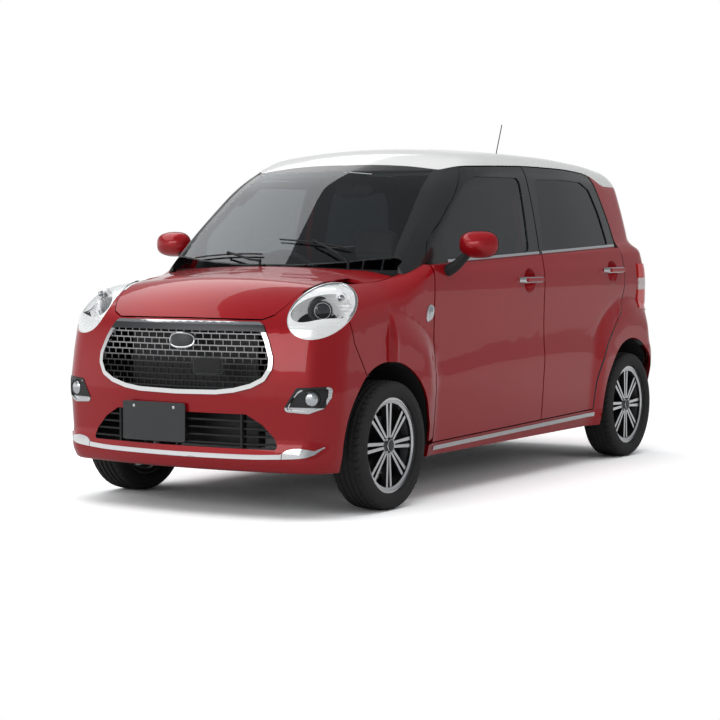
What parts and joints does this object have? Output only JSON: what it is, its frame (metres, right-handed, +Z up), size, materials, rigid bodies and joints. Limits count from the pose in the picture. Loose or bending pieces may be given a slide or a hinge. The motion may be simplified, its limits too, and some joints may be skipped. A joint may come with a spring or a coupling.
{
  "type": "kei car",
  "caption": "Small upright kei car with side doors, hood and tailgate that open, steered front wheels, a hollow cabin with seats, and a mesh grille",
  "frame": {"origin": "centre of the footprint on the ground", "axes": "+Z up, +Y towards the tail, +X towards the car's left side"},
  "size_m": [1.8808, 3.4045, 1.7749],
  "materials": {
    "body_paint": "metallic clear coat",
    "roof_paint": "solid clear coat",
    "black_trim": "gloss black",
    "dark_plastic": "moulded, fine grain",
    "dark_metal": "satin underbody paint",
    "bright": "polished",
    "clear_glass": "polished",
    "lamp_red": "moulded lens",
    "lamp_silver": "reflector",
    "alloy": "polished and lacquered",
    "rubber": "matt",
    "cloth": "woven",
    "cast": "cast"
  },
  "bodies": {
    "root": {"windscreen": "clear_glass", "screen_pillars": "black_trim", "side_frames": "dark_metal", "sills": "body_paint", "roof_panel": "roof_paint", "quarters": "body_paint", "tail_lamps": "lamp_red", "rear_bumper": "body_paint", "headlamp_lenses": "clear_glass", "headlamps": "lamp_silver", "front_fenders": "body_paint", "front_bumper": "body_paint", "grille_surround": "bright", "grille": "black_trim", "grille_shroud": "dark_plastic", "lower_grille": "dark_plastic", "fog_lamps": "lamp_silver", "bumper_strip": "bright", "sill_strips": "bright", "cowl": "dark_plastic", "wipers": "dark_plastic", "plate_brackets": "dark_plastic", "wheelhouses": "dark_metal", "floor_pan": "dark_metal", "dashboard": "dark_plastic", "steering_wheel": "dark_plastic", "front_seats": "cloth", "seat_rear": "cloth", "engine": "cast", "front_rails": "dark_metal", "front_suspension": "dark_metal", "rear_axle": "dark_metal", "fuel_tank": "dark_plastic", "exhaust": "dark_metal", "aerial": "dark_plastic"},
    "front_door_left": {"front_door_left": "body_paint", "front_glass_left": "clear_glass", "mirror_left": "body_paint"},
    "front_door_right": {"front_door_right": "body_paint", "front_glass_right": "clear_glass", "mirror_right": "body_paint"},
    "rear_door_left": {"rear_door_left": "body_paint", "rear_glass_left": "clear_glass"},
    "rear_door_right": {"rear_door_right": "body_paint", "rear_glass_right": "clear_glass"},
    "hood": {"hood": "body_paint"},
    "tailgate": {"tailgate": "body_paint", "tailgate_glass": "clear_glass"},
    "steer_left": {"knuckle_left": "cast"},
    "steer_right": {"knuckle_right": "cast"},
    "wheel_front_left": {"wheel_front_left": "alloy", "tyre_front_left": "rubber"},
    "wheel_front_right": {"wheel_front_right": "alloy", "tyre_front_right": "rubber"},
    "wheel_rear_left": {"wheel_rear_left": "alloy", "tyre_rear_left": "rubber"},
    "wheel_rear_right": {"wheel_rear_right": "alloy", "tyre_rear_right": "rubber"}
  },
  "joints": [
    {"name": "front_door_left_hinge", "type": "hinge", "parent": "root", "child": "front_door_left", "pos_m": [0.73, -0.755, 0.7], "axis": [0, 0, -1], "range_deg": [0, 62]},
    {"name": "front_door_right_hinge", "type": "hinge", "parent": "root", "child": "front_door_right", "pos_m": [-0.73, -0.755, 0.7], "axis": [0, 0, 1], "range_deg": [0, 62]},
    {"name": "rear_door_left_hinge", "type": "hinge", "parent": "root", "child": "rear_door_left", "pos_m": [0.724, 0.322, 0.7], "axis": [0, 0, -1], "range_deg": [0, 62]},
    {"name": "rear_door_right_hinge", "type": "hinge", "parent": "root", "child": "rear_door_right", "pos_m": [-0.724, 0.322, 0.7], "axis": [0, 0, 1], "range_deg": [0, 62]},
    {"name": "hood_hinge", "type": "hinge", "parent": "root", "child": "hood", "pos_m": [0, -0.885, 1.05], "axis": [-1, 0, 0], "range_deg": [0, 55]},
    {"name": "tailgate_hinge", "type": "hinge", "parent": "root", "child": "tailgate", "pos_m": [0, 1.438, 1.548], "axis": [1, 0, 0], "range_deg": [0, 80]},
    {"name": "steer_left_pivot", "type": "hinge", "parent": "root", "child": "steer_left", "pos_m": [0.607, -1.1305, 0.196], "axis": [-0.1038, 0, 0.9946], "range_deg": [-33, 33]},
    {"name": "steer_right_pivot", "type": "hinge", "parent": "root", "child": "steer_right", "pos_m": [-0.607, -1.1305, 0.196], "axis": [0.1038, 0, 0.9946], "range_deg": [-33, 33]},
    {"name": "wheel_front_left_spin", "type": "hinge", "parent": "steer_left", "child": "wheel_front_left", "pos_m": [0.6525, -1.1305, 0.276], "axis": [1, 0, 0], "continuous": true},
    {"name": "wheel_front_right_spin", "type": "hinge", "parent": "steer_right", "child": "wheel_front_right", "pos_m": [-0.6525, -1.1305, 0.276], "axis": [1, 0, 0], "continuous": true},
    {"name": "wheel_rear_left_spin", "type": "hinge", "parent": "root", "child": "wheel_rear_left", "pos_m": [0.6475, 1.3245, 0.276], "axis": [1, 0, 0], "continuous": true},
    {"name": "wheel_rear_right_spin", "type": "hinge", "parent": "root", "child": "wheel_rear_right", "pos_m": [-0.6475, 1.3245, 0.276], "axis": [1, 0, 0], "continuous": true}
  ],
  "couplings": [
    {"joint": "steer_right_pivot", "follows": "steer_left_pivot", "ratio": 1}
  ]
}
